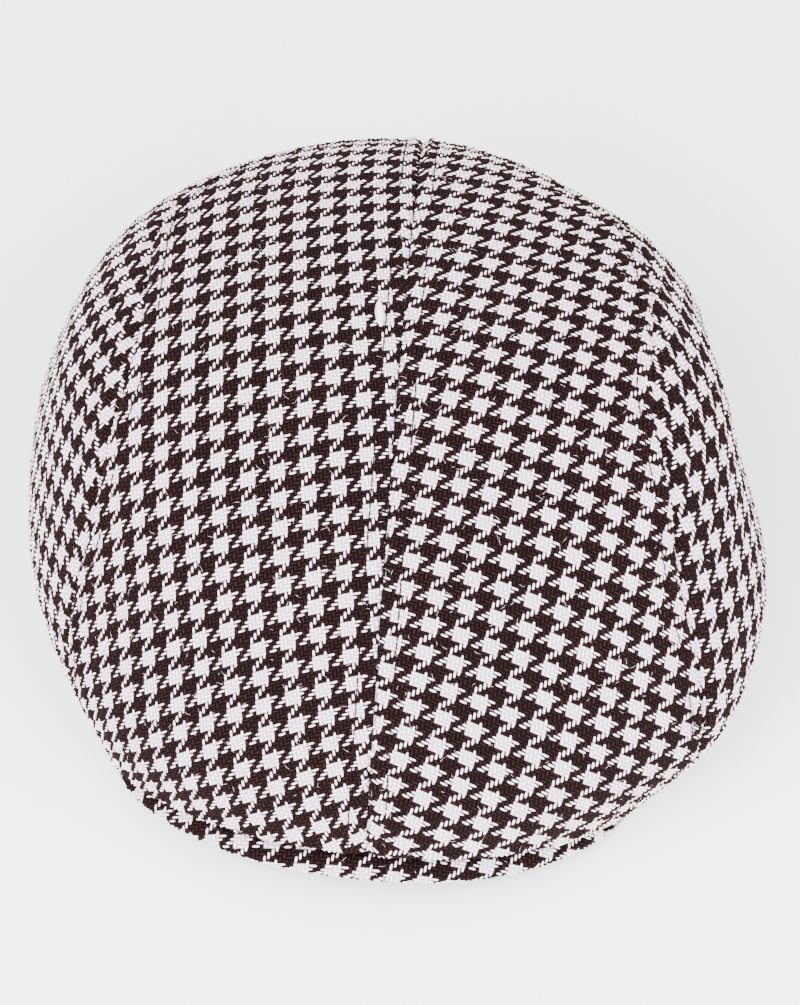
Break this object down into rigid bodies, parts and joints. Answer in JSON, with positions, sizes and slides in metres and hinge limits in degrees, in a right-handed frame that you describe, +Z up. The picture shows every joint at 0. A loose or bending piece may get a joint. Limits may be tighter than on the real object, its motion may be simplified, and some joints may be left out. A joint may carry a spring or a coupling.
{
  "type": "tweed flat cap",
  "caption": "Duckbill flat cap in houndstooth tweed, with sewn top and side panels, a turned hem and a covered stiff peak.",
  "frame": {"origin": "bottom centre of the bounding box, on the surface that the hem rests on", "axes": "+Z up, the peak towards -Y, +X to the left side of a wearer's head"},
  "size_m": [0.237, 0.2464, 0.1138],
  "materials": {
    "tweed": "matt woven wool, houndstooth check of pale lavender white and chocolate brown threads"
  },
  "bodies": {
    "root": {"top_panel_left": "tweed", "top_panel_right": "tweed", "side_panel_left": "tweed", "side_panel_right": "tweed", "peak": "tweed"}
  },
  "joints": []
}
